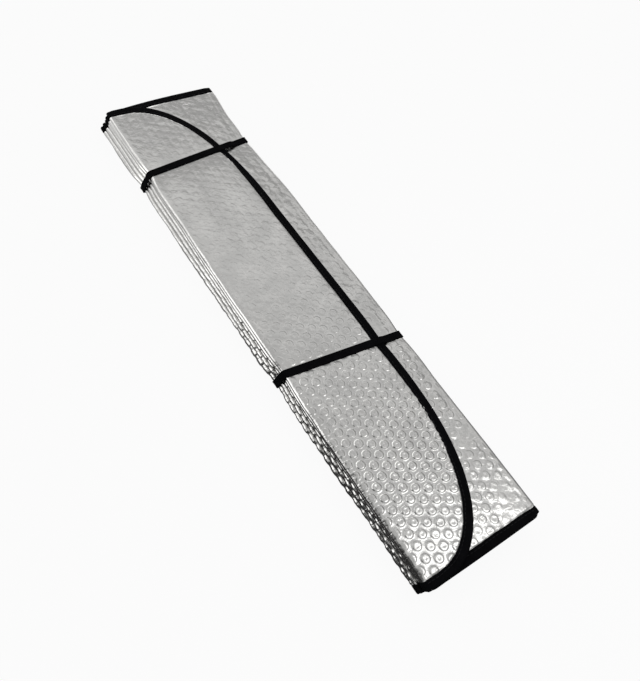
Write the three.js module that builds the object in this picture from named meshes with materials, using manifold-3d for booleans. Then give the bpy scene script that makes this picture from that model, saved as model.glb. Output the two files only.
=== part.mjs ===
// Windscreen sunshade of metallised bubble foil, fan-folded and held shut by two elastic straps.
// The sheet is laid out station by station along its zigzag, so every fold, edge and binding
// follows the same path. Units are millimetres: +Y runs along the folds to the roof edge,
// +X points to the free edges of the two outer panels, and +Z is up.
import * as THREE from 'three';
import { mergeVertices } from 'three/addons/utils/BufferGeometryUtils.js';
import Module from 'manifold-3d';

const wasm = await Module();
wasm.setup();

// The folded bundle
const shadeHeight = 611;          // dashboard edge to roof edge, along the folds
const foldedWidth = 135;          // across the bundle, fold to fold
const panelCount = 10;            // an even number, so both free edges lie on the same side
const layerPitch = 2.6;           // from one panel to the next, through the stack
const foldSegments = 4;           // facets round each fold
const foldSlack = [0, 0.4, 1.0, 0, 1.8, 0.9, 0.9, 0.3, 0.2]; // how far each fold stops short of the side

// The foil sheet
const sheetThickness = 2.0;       // film to film, with the bubbles pressed in the stack
const crushedThickness = 0.9;     // where the binding is sewn down
const crushRamp = 1.6;            // from crushed to full thickness

// Outline of the two outer panels, which the windscreen's rounded ends give their shape
const endPanelDash = 110;         // width at the dashboard corner
const endPanelRoof = 105;         // width at the roof corner
const cornerAcross = 94;          // reach of a rounded corner across the panel
const cornerPower = 2.2;          // 2 is an ellipse, more is squarer
const cornerSegments = 9;
const leastStep = 0.05;           // stations of an outer panel that lie nearer together are one

// The two ends of the bundle. fall is how far the sheet's edge is drawn back at the left folds, and
// cornerAlong is the reach of a rounded corner along the free edge.
const dashEnd = { towards: -1, fall: 1.2, cornerAlong: 180 };
const roofEnd = { towards: 1, fall: 5.5, cornerAlong: 174 };
const fallShares = [1, 0.25, 0.03]; // of the fall, at equal steps over the second and last but one panels

// Binding tape folded over the whole edge
const bindingWidth = 9;           // how far each leg reaches in from the edge
const bindingThickness = 0.5;
const bindingGap = 0.1;           // between tape and sheet
const bindingMargin = 1.0;        // crushed foil that shows past the tape

// Bubbles on the outer faces, as low six-sided points
const bubbleRows = 50;            // along the bundle, between the two margins
const bubbleHeight = 1.2;
const bubbleFoot = 0.1;           // the valleys' height over the plain sheet
const bubbleRoot = 0.6;           // how deep the bubbles' slab is set in the sheet
const bubbleClearance = 1.0;      // from the bubbles to a fold or to the tape above them

// Elastic straps, each a loop round the bundle that leans a little across it
const strapWidth = 8;
const strapThickness = 1.0;
const strapClearance = 0.3;
const strapCorner = 3.0;          // inner radius where a strap turns down the side
const strapSegments = 3;
const roofStrapInset = 103.1;     // from the roof edge to the middle of the strap on that side
const dashStrapInset = 219;       // the same from the dashboard edge
const roofStrapSlope = 0.1;       // how much further along a strap lies for each millimetre across
const dashStrapSlope = -0.097;

// The stack was not folded quite square: its lowest panel lies off by these amounts
const leanAcross = -3.5;
const leanAlong = 4;
const leanTurn = -0.0117;         // extra shift across for each millimetre along

const foldRadius = layerPitch / 2;
const halfSheet = sheetThickness / 2;
const halfCrushed = crushedThickness / 2;
const side = foldedWidth / 2;
const dashCornerY = endY(dashEnd, 1, dashEnd.cornerAlong); // where the free edge starts to round off
const roofCornerY = endY(roofEnd, 1, roofEnd.cornerAlong);
const topPanelZ = (panelCount - 1) * layerPitch;
const freeEdgeX = endPanelDash - side;
const marginSeat = bindingWidth + bindingMargin;
const bubbleInset = marginSeat + crushRamp;
const bubbleStartY = endY(dashEnd, 1, bubbleInset);
const bubblePitch = (endY(roofEnd, 1, bubbleInset) - bubbleStartY) / bubbleRows;
const tapeOutside = bindingGap + bindingThickness;
const straps = [
  {
    name: 'roof_side_elastic_strap',
    along: shadeHeight / 2 - roofStrapInset,
    slope: roofStrapSlope,
  },
  {
    name: 'dash_side_elastic_strap',
    along: dashStrapInset - shadeHeight / 2,
    slope: dashStrapSlope,
  },
];

// The y of a line that runs inset inside the sheet's edge at an end, where the edge has fallen back
// by the share fallen of its whole fall
function endY(end, fallen, inset) {
  return end.towards * (shadeHeight / 2 - fallen * end.fall - inset);
}

// How far the free edge has drawn in at y, because the outer panels narrow towards the roof
function edgeDrawIn(y) {
  return ((endPanelDash - endPanelRoof) * (y - dashCornerY)) / (roofCornerY - dashCornerY);
}

// Shifts a point of the squarely folded bundle to where the slightly skewed stack has it
function lean(point) {
  const depth = (topPanelZ - point.z) / topPanelZ;
  const across = leanAcross + leanTurn * point.y;
  return new THREE.Vector3(point.x + depth * across, point.y + depth * leanAlong, point.z);
}

// A station is a place along the zigzag: its spot on the middle of the sheet, the direction of the
// sheet's outer side there, and three numbers. free is 1 at a free edge and 0 from the first fold on,
// inward is the distance in from the free edge, and fallen is the share of the edges' fall.
function place(station, y, offset) {
  return new THREE.Vector3(
    station.x + station.nx * offset - station.free * edgeDrawIn(y),
    y,
    station.z + station.nz * offset,
  );
}

// The centre line that fold i turns about. Even folds are on the left, odd ones on the right.
function foldCentre(i) {
  const reach = side - foldRadius - halfSheet - foldSlack[i % foldSlack.length];
  return {
    x: i % 2 === 0 ? -reach : reach,
    z: topPanelZ - i * layerPitch - foldRadius,
    hand: i % 2 === 0 ? -1 : 1,
  };
}

function foldStations(i) {
  const centre = foldCentre(i);
  const stations = [];
  for (let k = 0; k <= foldSegments; k += 1) {
    const angle = (Math.PI * k) / foldSegments;
    const outX = centre.hand * Math.sin(angle);
    const outZ = Math.cos(angle);
    stations.push({
      x: centre.x + foldRadius * outX,
      z: centre.z + foldRadius * outZ,
      nx: -centre.hand * outX,
      nz: -centre.hand * outZ,
      free: 0,
      inward: Infinity,
      fallen: i % 2 === 0 ? 1 : 0,
    });
  }
  return stations;
}

// The stations between the two folds of a panel that is next to an outer one, where the fall is
// curved. The second panel's outer side faces down, and the last but one's faces up.
function fallStations(isTop) {
  const outerFold = foldCentre(isTop ? 0 : panelCount - 2);
  const nextFold = foldCentre(isTop ? 1 : panelCount - 3);
  return fallShares.slice(1).map((fallen, k) => ({
    x: outerFold.x + ((nextFold.x - outerFold.x) * (k + 1)) / fallShares.length,
    z: isTop ? topPanelZ - layerPitch : layerPitch,
    nx: 0,
    nz: isTop ? -1 : 1,
    free: 0,
    inward: Infinity,
    fallen,
  }));
}

// A place on an outer panel, so far in from its free edge. The top panel faces up, the lowest down.
function endStation(isTop, inward) {
  const fold = foldCentre(isTop ? 0 : panelCount - 2);
  return {
    x: freeEdgeX - inward,
    z: isTop ? topPanelZ : 0,
    nx: 0,
    nz: isTop ? 1 : -1,
    free: Math.max(0, 1 - inward / (freeEdgeX - fold.x)),
    inward,
    fallen: 1,
  };
}

// The folds and panels between the two outer panels, station by station
function innerStations() {
  const stations = [];
  for (let i = 0; i < panelCount - 1; i += 1) {
    if (i === panelCount - 2) stations.push(...fallStations(false).reverse());
    stations.push(...foldStations(i));
    if (i === 0) stations.push(...fallStations(true));
  }
  return stations;
}

// The turns at which a rounded corner has its points. The last one stops a hair short of a quarter.
function cornerTurns() {
  const turns = [];
  for (let k = 0; k <= cornerSegments; k += 1) {
    turns.push((Math.PI / 2 - 1e-9) * (k / cornerSegments));
  }
  return turns;
}

// A point of a rounded corner, inset from the outline: how far in from the free edge, and its y.
// turn is 0 at the free edge and a quarter turn at the end edge.
function cornerPoint(end, turn, inset) {
  const share = 2 / cornerPower;
  const beyond = (end.cornerAlong - inset) * Math.sin(turn) ** share;
  return {
    inward: cornerAcross - (cornerAcross - inset) * Math.cos(turn) ** share,
    y: endY(end, 1, end.cornerAlong - beyond),
  };
}

// The y of the faceted outline at a distance in from the free edge
function outlineY(end, inward, inset) {
  const points = cornerTurns().map((turn) => cornerPoint(end, turn, inset));
  const k = points.findIndex((point) => point.inward > inward);
  if (k < 0) return endY(end, 1, inset);
  if (k === 0) return points[0].y;
  const [near, far] = [points[k - 1], points[k]];
  const share = (inward - near.inward) / (far.inward - near.inward);
  return near.y + share * (far.y - near.y);
}

// The distances in from a free edge at which an outer panel gets a station
function endPanelInsets() {
  const insets = cornerTurns().map((turn) => cornerPoint(dashEnd, turn, 0).inward);
  insets.push(marginSeat, bubbleInset);
  insets.sort((a, b) => a - b);
  return insets.filter((inset, i) => i === 0 || inset - insets[i - 1] > leastStep);
}

// Every station of the sheet, from one free edge through all the folds to the other
function sheetStations() {
  const insets = endPanelInsets();
  return [
    ...insets.map((inset) => endStation(true, inset)),
    ...innerStations(),
    ...insets.reverse().map((inset) => endStation(false, inset)),
  ];
}

// The y of a line inset inside the sheet's edge, at a station
function stationY(end, station, inset) {
  if (station.inward === Infinity) return endY(end, station.fallen, inset);
  return outlineY(end, Math.max(station.inward, inset), inset);
}

// The six rows of a station's section, from the dashboard edge to the roof edge: y and half thickness
function sectionRows(station) {
  const body = station.inward >= bubbleInset ? halfSheet : halfCrushed;
  return [
    { y: stationY(dashEnd, station, 0), half: halfCrushed },
    { y: stationY(dashEnd, station, marginSeat), half: halfCrushed },
    { y: stationY(dashEnd, station, bubbleInset), half: body },
    { y: stationY(roofEnd, station, bubbleInset), half: body },
    { y: stationY(roofEnd, station, marginSeat), half: halfCrushed },
    { y: stationY(roofEnd, station, 0), half: halfCrushed },
  ];
}

// Joins rings of points, each with as many as the next, into one closed skin
function skinRings(rings, closedLoop) {
  const size = rings[0].length;
  const corners = rings.flat();
  const index = [];
  const quad = (a, b, c, d) => index.push(a, b, c, a, c, d);
  const last = closedLoop ? rings.length : rings.length - 1;
  for (let i = 0; i < last; i += 1) {
    const here = i * size;
    const next = ((i + 1) % rings.length) * size;
    for (let k = 0; k < size; k += 1) {
      const step = (k + 1) % size;
      quad(here + k, next + k, next + step, here + step);
    }
  }
  if (!closedLoop) {
    const end = (rings.length - 1) * size;
    for (let k = 0; k < size / 2 - 1; k += 1) {
      const mate = size - 1 - k;
      quad(k, k + 1, mate - 1, mate);
      quad(end + mate, end + mate - 1, end + k + 1, end + k);
    }
  }
  const geometry = new THREE.BufferGeometry();
  const position = new Float32Array(corners.flatMap((p) => [p.x, p.y, p.z]));
  geometry.setAttribute('position', new THREE.BufferAttribute(position, 3));
  geometry.setIndex(index);
  return geometry;
}

function foldedSheet() {
  const rings = sheetStations().map((station) => {
    const rows = sectionRows(station);
    const inner = rows.map((row) => place(station, row.y, -row.half));
    const outer = rows.map((row) => place(station, row.y, row.half)).reverse();
    return [...inner, ...outer];
  });
  return skinRings(rings, false);
}

// The tape's folded section, as distance in from the sheet's edge and offset from its middle
function tapeSection() {
  const inner = halfCrushed + bindingGap;
  const outer = inner + bindingThickness;
  return [
    { inset: bindingWidth, offset: inner },
    { inset: bindingWidth, offset: outer },
    { inset: -tapeOutside, offset: outer },
    { inset: -tapeOutside, offset: -outer },
    { inset: bindingWidth, offset: -outer },
    { inset: bindingWidth, offset: -inner },
    { inset: -bindingGap, offset: -inner },
    { inset: -bindingGap, offset: inner },
  ];
}

// The tape's section round one rounded corner
function cornerRings(isTop, end) {
  return cornerTurns().map((turn) => tapeSection().map(({ inset, offset }) => {
    const { inward, y } = cornerPoint(end, turn, inset);
    return place(endStation(isTop, inward), y, offset);
  }));
}

// The tape's section along the zigzag of the dashboard edge or the roof edge
function zigzagRings(end) {
  return innerStations().map((station) => tapeSection().map(({ inset, offset }) => (
    place(station, stationY(end, station, inset), offset)
  )));
}

// One length of tape: out along the dashboard edge, round the lowest panel's free edge, and back
// along the roof edge to the top panel's free edge
function edgeBinding() {
  const rings = [
    ...cornerRings(true, dashEnd),
    ...zigzagRings(dashEnd),
    ...cornerRings(false, dashEnd).reverse(),
    ...cornerRings(false, roofEnd),
    ...zigzagRings(roofEnd).reverse(),
    ...cornerRings(true, roofEnd).reverse(),
  ];
  return skinRings(rings, true);
}

function toManifold(geometry) {
  const bare = geometry.clone();
  bare.deleteAttribute('normal');
  bare.deleteAttribute('uv');
  const merged = mergeVertices(bare, 1e-5);
  return new wasm.Manifold(new wasm.Mesh({
    numProp: 3,
    vertProperties: new Float32Array(merged.attributes.position.array),
    triVerts: new Uint32Array(merged.index.array),
  }));
}

function toGeometry(manifold) {
  const mesh = manifold.getMesh();
  const geometry = new THREE.BufferGeometry();
  geometry.setAttribute('position', new THREE.BufferAttribute(mesh.vertProperties, 3));
  geometry.setIndex(new THREE.BufferAttribute(mesh.triVerts, 1));
  return geometry;
}

// A slab whose upper side is a honeycomb of low points, with one column of them along columnX. Each
// bubble is a six-sided cell: its middle stands up, and its corners lie in the valleys.
function bubbleSlab(valleyZ, columnX) {
  const columnPitch = bubblePitch * Math.sin(Math.PI / 3);
  const columns = Math.ceil(foldedWidth / columnPitch);
  const topZ = valleyZ + bubbleHeight;
  const bottomZ = valleyZ - bubbleFoot - bubbleRoot;
  const reach = bubblePitch / Math.sqrt(3);
  const triangles = [];
  const edgeUses = new Map();
  const key = (p) => `${Math.round(p.x * 100)},${Math.round(p.y * 100)}`;
  for (let i = -columns; i <= columns; i += 1) {
    for (let j = -1; j <= bubbleRows; j += 1) {
      const middle = {
        x: columnX + i * columnPitch,
        y: bubbleStartY + (j + (i % 2 === 0 ? 0.5 : 0)) * bubblePitch,
      };
      for (let k = 0; k < 6; k += 1) {
        const corner = (turn) => ({
          x: middle.x + reach * Math.cos((Math.PI / 3) * turn),
          y: middle.y + reach * Math.sin((Math.PI / 3) * turn),
        });
        const [a, b] = [corner(k), corner(k + 1)];
        triangles.push([{ ...middle, z: topZ }, { ...a, z: valleyZ }, { ...b, z: valleyZ }]);
        edgeUses.set(`${key(a)}|${key(b)}`, [a, b]);
      }
    }
  }
  const skin = [...triangles];
  triangles.forEach(([m, a, b]) => {
    skin.push([{ ...b, z: bottomZ }, { ...a, z: bottomZ }, { ...m, z: bottomZ }]);
  });
  edgeUses.forEach(([a, b]) => {
    if (!edgeUses.has(`${key(b)}|${key(a)}`)) {
      const [c, d] = [{ ...a, z: bottomZ }, { ...b, z: bottomZ }];
      skin.push([{ ...a, z: valleyZ }, c, d]);
      skin.push([{ ...a, z: valleyZ }, d, { ...b, z: valleyZ }]);
    }
  });
  const position = new Float32Array(skin.flatMap((face) => face.flatMap((p) => [p.x, p.y, p.z])));
  const geometry = new THREE.BufferGeometry();
  geometry.setAttribute('position', new THREE.BufferAttribute(position, 3));
  return geometry;
}

// The plan outline of the top panel, inset from its edge, from its fold round to its fold again
function topPanelPlan(inset, foldX) {
  const corner = (end) => cornerTurns().map((turn) => {
    const { inward, y } = cornerPoint(end, turn, inset);
    const point = place(endStation(true, inward), y, 0);
    return new THREE.Vector2(point.x, point.y);
  });
  return new THREE.Shape([
    new THREE.Vector2(foldX, endY(dashEnd, 1, inset)),
    ...corner(dashEnd).reverse(),
    ...corner(roofEnd),
    new THREE.Vector2(foldX, endY(roofEnd, 1, inset)),
  ]);
}

// The same for the second panel, whose ends fall back towards its first fold
function secondPanelPlan(inset, foldX) {
  const stations = [foldStations(0)[foldSegments], ...fallStations(true), foldStations(1)[0]];
  stations[stations.length - 1] = { ...stations[stations.length - 1], x: foldX };
  const edge = (end) => stations.map((station) => (
    new THREE.Vector2(station.x, endY(end, station.fallen, inset))
  ));
  return new THREE.Shape([...edge(dashEnd), ...edge(roofEnd).reverse()]);
}

// A block through the whole stack with that plan
function planBlock(shape) {
  const height = topPanelZ + 4 * layerPitch;
  const geometry = new THREE.ExtrudeGeometry(shape, { depth: height, bevelEnabled: false });
  geometry.translate(0, 0, topPanelZ / 2 - height / 2);
  return toManifold(geometry);
}

// The bubbles that show from above: all of the top panel, and the strip of the second panel that
// the top panel's free edge leaves bare
function bubblesOfTheTop() {
  const firstFold = foldCentre(0).x + bubbleClearance;
  const secondFold = foldCentre(1).x - bubbleClearance;
  const topValley = topPanelZ + halfSheet + bubbleFoot;
  const topSlab = toManifold(bubbleSlab(topValley, firstFold));
  const onTop = topSlab.intersect(planBlock(topPanelPlan(bubbleInset, firstFold)));

  const secondSlab = toManifold(bubbleSlab(topValley - layerPitch, secondFold));
  const covered = topPanelPlan(-tapeOutside - bubbleClearance, -foldedWidth);
  const onSecond = secondSlab
    .intersect(planBlock(secondPanelPlan(bubbleInset, secondFold)))
    .subtract(planBlock(covered));
  return [onTop, onSecond];
}

// The sheet as the shade is folded, with the bubbles of its two outer faces
function shadeSheet() {
  let sheet = toManifold(foldedSheet());
  bubblesOfTheTop().forEach((bubbles) => {
    const below = toGeometry(bubbles).applyMatrix4(new THREE.Matrix4().makeScale(1, 1, -1));
    below.translate(0, 0, topPanelZ);
    const index = below.index.array;
    for (let i = 0; i < index.length; i += 3) {
      [index[i + 1], index[i + 2]] = [index[i + 2], index[i + 1]];
    }
    sheet = sheet.add(bubbles).add(toManifold(below));
  });
  return toGeometry(sheet);
}

// The x that the top panel's free edge and tape reach at y
function tapeReachX(y) {
  const end = y > 0 ? roofEnd : dashEnd;
  const reach = end.cornerAlong + tapeOutside;
  const beyond = Math.max(0, end.towards * (y - endY(end, 1, end.cornerAlong)));
  const across = (1 - Math.min(1, beyond / reach) ** cornerPower) ** (1 / cornerPower);
  const inward = cornerAcross - (cornerAcross + tapeOutside) * across;
  return place(endStation(true, inward), y, 0).x;
}

// A strap's inner or outer outline, seen along the folds. grow is the distance outside the inner one.
function strapOutline(stepX, grow) {
  const left = -side - strapClearance - grow;
  const right = side + strapClearance + grow;
  const lift = halfSheet + bubbleFoot + bubbleHeight + strapClearance + grow;
  const top = topPanelZ + lift;
  const secondTop = top - layerPitch;
  const bottom = -lift;
  const secondBottom = bottom + layerPitch;
  const radius = strapCorner + grow;
  const stepStart = stepX + grow * Math.tan(Math.PI / 8);
  const shape = new THREE.Path();
  shape.moveTo(left + radius, top);
  shape.absarc(left + radius, top - radius, radius, Math.PI / 2, Math.PI, false);
  shape.absarc(left + radius, bottom + radius, radius, Math.PI, 1.5 * Math.PI, false);
  shape.lineTo(stepStart, bottom);
  shape.lineTo(stepStart + layerPitch, secondBottom);
  shape.absarc(right - radius, secondBottom + radius, radius, -Math.PI / 2, 0, false);
  shape.absarc(right - radius, secondTop - radius, radius, 0, Math.PI / 2, false);
  shape.lineTo(stepStart + layerPitch, secondTop);
  shape.lineTo(stepStart, top);
  shape.closePath();
  return shape;
}

function elasticStrap({ along, slope }) {
  const half = strapWidth / 2;
  const crossing = along + slope * freeEdgeX;
  const stepX = Math.max(tapeReachX(crossing - half), tapeReachX(crossing + half)) + strapClearance;
  const shape = new THREE.Shape(strapOutline(stepX, strapThickness).getPoints(strapSegments));
  shape.holes.push(new THREE.Path(strapOutline(stepX, 0).getPoints(strapSegments)));
  const geometry = new THREE.ExtrudeGeometry(shape, { depth: strapWidth, bevelEnabled: false });
  geometry.rotateX(Math.PI / 2);
  geometry.translate(0, along + half, 0);
  geometry.applyMatrix4(new THREE.Matrix4().makeShear(slope, 0, 0, 0, 0, 0));
  return geometry;
}

// Leans every point of a piece that was laid out square
function leaned(geometry) {
  const position = geometry.attributes.position;
  const point = new THREE.Vector3();
  for (let i = 0; i < position.count; i += 1) {
    const moved = lean(point.fromBufferAttribute(position, i));
    position.setXYZ(i, moved.x, moved.y, moved.z);
  }
  position.needsUpdate = true;
  return geometry;
}

const foil = new THREE.MeshStandardMaterial({ color: 0xbfc0bd, roughness: 0.35, metalness: 0.9 });
const tape = new THREE.MeshStandardMaterial({ color: 0x0c0c0d, roughness: 0.9, metalness: 0 });
const elastic = new THREE.MeshStandardMaterial({ color: 0x0b0b0c, roughness: 0.8, metalness: 0 });

function piece(name, geometry, material) {
  const mesh = new THREE.Mesh(leaned(geometry), material);
  mesh.name = name;
  return mesh;
}

const sunshade = new THREE.Group();
sunshade.add(
  piece('shade_sheet', shadeSheet(), foil),
  piece('edge_binding', edgeBinding(), tape),
  ...straps.map((strap) => piece(strap.name, elasticStrap(strap), elastic)),
);

// Stands the bundle on its straps, centred on the origin
const box = new THREE.Box3().setFromObject(sunshade);
const middle = box.getCenter(new THREE.Vector3());
sunshade.position.set(-middle.x, -middle.y, -box.min.z);

export default sunshade;
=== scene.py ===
import math

import bmesh
import bpy
import numpy as np
from mathutils import Matrix, Vector


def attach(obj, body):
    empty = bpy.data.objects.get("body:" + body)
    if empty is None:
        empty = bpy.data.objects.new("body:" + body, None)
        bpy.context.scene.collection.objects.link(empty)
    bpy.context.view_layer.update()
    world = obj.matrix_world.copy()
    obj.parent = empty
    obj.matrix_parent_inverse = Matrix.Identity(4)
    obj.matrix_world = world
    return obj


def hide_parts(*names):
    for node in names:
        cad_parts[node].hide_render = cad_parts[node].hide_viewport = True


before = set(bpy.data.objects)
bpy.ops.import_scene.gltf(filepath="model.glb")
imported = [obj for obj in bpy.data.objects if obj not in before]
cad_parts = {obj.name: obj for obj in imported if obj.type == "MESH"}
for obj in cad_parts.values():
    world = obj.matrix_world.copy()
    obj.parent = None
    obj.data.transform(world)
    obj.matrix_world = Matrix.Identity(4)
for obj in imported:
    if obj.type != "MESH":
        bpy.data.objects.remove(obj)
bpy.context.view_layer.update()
mm = 0.001

# The fold. Lengths are in millimetres, as the sunshade was measured.
fold = {
    "height": 611.0,           # dashboard edge to roof edge
    "width": 135.0,            # across the bundle
    "panels": 10,
    "pitch": 2.6,              # from one panel to the next
    "slack": [0, 0.4, 1.0, 0, 1.8, 0.9, 0.9, 0.3, 0.2],
    "freeEdge": 42.5,          # x of the free edges at the dashboard corner
    "drawIn": 5.0,             # how much narrower the outer panels are at the roof corner
    "beyondEdge": 1.02,        # the binding follows that slant a little past the free edge
    "fallPower": 3.3,          # how the ends fall back over the second panel
    "leanAcross": -3.5,        # the stack isn't quite square
    "leanAlong": 4.0,
    "leanTurn": -0.0117,
    "place": (3.0798, -2.0, 3.6),  # moves it onto the frame's origin
    "strapPlaces": ((202.4, 0.1), (-86.5, -0.097)),  # y at the middle, and slope
}
dashEnd = {"towards": -1, "fall": 1.2, "corner": 180.0}
roofEnd = {"towards": 1, "fall": 5.5, "corner": 174.0}
corner = {"across": 94.0, "power": 2.2}

sheet = {
    "half": 1.0,               # half the thickness where the bubbles are
    "halfCrushed": 0.45,       # half the thickness under the binding
    "margin": 8.8,             # crushed edge, just under the binding
    "ramp": 1.3,
    "trim": 2.8,               # the cut edge lies this far inside the binding
    "column": 1.2,             # spacing of the points where the foil shows
    "nearRow": 1.15,           # the same along the folds, where the bubbles stand out
    "farRow": 2.1,
    "underColumn": 3.6,
    "leftFoldSteps": 6,
    "rightFoldSteps": 4,
    "block": 9,                # rows that hidden faces are joined over
    "keep": 2.0,               # faces this near the crushed edge stay apart
    "laidOut": 1.0,            # thickness while the sheet is still flat
    "pressed": (4.2, 7.5),     # distances from a strap's middle over which its pressure fades
    "raised": 0.1,             # what the foil stands up between the straps
    "sunken": 0.15,            # and how far it sinks under one
}

side = fold["width"] / 2
radius = fold["pitch"] / 2
topZ = (fold["panels"] - 1) * fold["pitch"]
outerPanels = (0, fold["panels"] - 1)
secondPanels = (1, fold["panels"] - 2)
dashCornerY = -(fold["height"] / 2 - dashEnd["fall"] - dashEnd["corner"])
roofCornerY = fold["height"] / 2 - roofEnd["fall"] - roofEnd["corner"]


# The zigzag as a list of spans, each a panel or a fold, with the length at which it starts
def makeSpans():
    made = []
    start = 0.0
    x = fold["freeEdge"]

    def add(kind, i, length, z, way):
        span = {"kind": kind, "i": i, "start": start, "length": length, "x": x, "z": z, "way": way}
        made.append(span)
        return start + length

    for i in range(fold["panels"]):
        z = topZ - i * fold["pitch"]
        way = -1 if i % 2 == 0 else 1
        last = i == fold["panels"] - 1
        reach = side - radius - sheet["half"] - (0 if last else fold["slack"][i])
        end = fold["freeEdge"] if last else way * reach
        start = add("panel", i, abs(end - x), z, way)
        x = end
        if not last:
            start = add("fold", i, math.pi * radius, z - radius, way)
    return made, start


spans, developed = makeSpans()
panels = [span for span in spans if span["kind"] == "panel"]
folds = [span for span in spans if span["kind"] == "fold"]
print("fold laid out:", round(developed), "mm of sheet in", len(panels), "panels")


def smooth(low, high, value):
    t = np.clip((value - low) / (high - low), 0, 1)
    return t * t * (3 - 2 * t)


# A number from 0 to 1 for a cell of a grid, the same every time
def chance(i, j, seed):
    n = np.sin(i * 127.1 + j * 311.7 + seed * 74.7) * 43758.5453
    return n - np.floor(n)


# Smooth noise from -1 to 1
def drift(u, v, seed):
    i, j = np.floor(u), np.floor(v)
    fu, fv = u - i, v - j
    fu = fu * fu * (3 - 2 * fu)
    fv = fv * fv * (3 - 2 * fv)
    near = chance(i, j, seed) * (1 - fu) + chance(i + 1, j, seed) * fu
    far = chance(i, j + 1, seed) * (1 - fu) + chance(i + 1, j + 1, seed) * fu
    return 2 * (near * (1 - fv) + far * fv) - 1


# The same with a depth, a length across, a length along and a seed
def waves(shape, u, v):
    depth, across, along, seed = shape
    return depth * drift(u / across, v / along, seed)


# How far the ends of the sheet have fallen back, from 0 to 1, along the zigzag
def fallen(s):
    share = np.ones_like(s)
    for span in spans:
        inside = (s >= span["start"]) & (s <= span["start"] + span["length"])
        t = (s - span["start"]) / span["length"]
        i = span["i"]
        if span["kind"] == "fold":
            value = 1.0 if i % 2 == 0 else 0.0
        elif i in outerPanels:
            value = 1.0
        elif i == secondPanels[0]:
            value = np.clip(1 - t, 0, 1) ** fold["fallPower"]
        elif i == secondPanels[1]:
            value = np.clip(t, 0, 1) ** fold["fallPower"]
        else:
            value = t if i % 2 == 0 else 1 - t
        share = np.where(inside, value, share)
    return share


# The y of the sheet's edge at an end
def edgeY(end, s):
    inward = np.minimum(s, developed - s)
    straight = fold["height"] / 2 - fallen(s) * end["fall"]
    lack = np.clip((corner["across"] - inward) / corner["across"], 0, 1)
    beyond = end["corner"] * np.clip(1 - lack ** corner["power"], 0, 1) ** (1 / corner["power"])
    rounded = straight - end["corner"] + beyond
    return end["towards"] * np.where(inward < corner["across"], rounded, straight)


# Points of the developed sheet, with an offset to its outer side, in the folded bundle
def foldUp(s, y, offset):
    x = np.zeros_like(s)
    z = np.zeros_like(s)
    for number, span in enumerate(spans):
        low = -1e9 if number == 0 else span["start"]
        high = 1e9 if number == len(spans) - 1 else span["start"] + span["length"]
        inside = (s >= low) & (s <= high)
        outward = offset * (1 if span["i"] % 2 == 0 else -1)
        if span["kind"] == "panel":
            spanX = span["x"] + span["way"] * (s - span["start"])
            spanZ = span["z"] + outward
            if span["i"] in outerPanels:
                inward = s if number == 0 else developed - s
                free = np.clip(1 - inward / span["length"], 0, fold["beyondEdge"])
                roofward = (y - dashCornerY) / (roofCornerY - dashCornerY)
                spanX = spanX - free * fold["drawIn"] * roofward
        else:
            angle = (s - span["start"]) / radius
            spanX = span["x"] + span["way"] * (radius + outward) * np.sin(angle)
            spanZ = span["z"] + (radius + outward) * np.cos(angle)
        x = np.where(inside, spanX, x)
        z = np.where(inside, spanZ, z)
    return x, y, z


# What the straps, the handling and the lean of the stack do to every piece alike
settling = {
    "press": 0.9,              # how far the top sinks under a strap
    "pressReach": 16.0,
    "pinch": 2.2,              # how far a strap draws the folds in
    "pinchReach": 14.0,
    "pinchRight": 0.6,         # share of that on the right
    "sides": (20, 68),         # distances from the middle over which a side is drawn in
    "roofPinch": 3.4,          # the right side is drawn in past the roof strap
    "roofPinchStarts": (120, 195),
    "roofPinchEnds": (245, 292),
    "roofPinchLayers": (-0.2, 0.9),
    "wander": 0.7,             # the folds' own waviness
    "wanderRight": 0.7,
    "wanders": ((1.0, 46, 3.7, 5.3, 1), (0.5, 17, 2.1, 3.1, 2)),  # depth, length, steps a layer, seed
    "swell": (0.5, 60, 85, 3),  # slow rise and fall of the top
    "swellStart": 540,
    "overshoot": 0.2,          # the outermost faces lie past the middles of their panels
}


def settle(x, y, z):
    depth = np.clip((topZ - z) / topZ, -settling["overshoot"], 1 + settling["overshoot"])
    height = 1 - depth
    leftward = smooth(*settling["sides"], -x)
    rightward = smooth(*settling["sides"], x)
    pinch = np.zeros_like(x)
    press = np.zeros_like(x)
    for along, slope in fold["strapPlaces"]:
        away = y - along - slope * x
        pinch = pinch + np.exp(-(away / settling["pinchReach"]) ** 2)
        press = press + np.exp(-(away / settling["pressReach"]) ** 2)
    shift = settling["pinch"] * pinch * (leftward - settling["pinchRight"] * rightward)
    pastStrap = smooth(*settling["roofPinchStarts"], y) * (1 - smooth(*settling["roofPinchEnds"], y))
    upper = smooth(*settling["roofPinchLayers"], height)
    shift = shift - settling["roofPinch"] * pastStrap * rightward * upper
    layer = np.round(z / fold["pitch"])
    wander = 0
    for amount, length, stepU, stepV, seed in settling["wanders"]:
        wander = wander + amount * drift(y / length + layer * stepU, layer * stepV, seed)
    shift = shift + settling["wander"] * wander * (leftward + settling["wanderRight"] * rightward)
    swell = waves(settling["swell"], x + settling["swellStart"], y) * height
    x = x + shift + depth * (fold["leanAcross"] + fold["leanTurn"] * y)
    z = z + swell - settling["press"] * press * height * smooth(0, 1, height)
    y = y + depth * fold["leanAlong"]
    return x + fold["place"][0], y + fold["place"][1], z + fold["place"][2]


def intoPlace(s, y, offset):
    return np.stack(settle(*foldUp(s, y, offset)), axis=-1) * mm


def newPiece(name, bm):
    mesh = bpy.data.meshes.new(name)
    bm.to_mesh(mesh)
    bm.free()
    piece = bpy.data.objects.new(name, mesh)
    bpy.context.scene.collection.objects.link(piece)
    for polygon in mesh.polygons:
        polygon.use_smooth = True
    return piece


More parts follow.
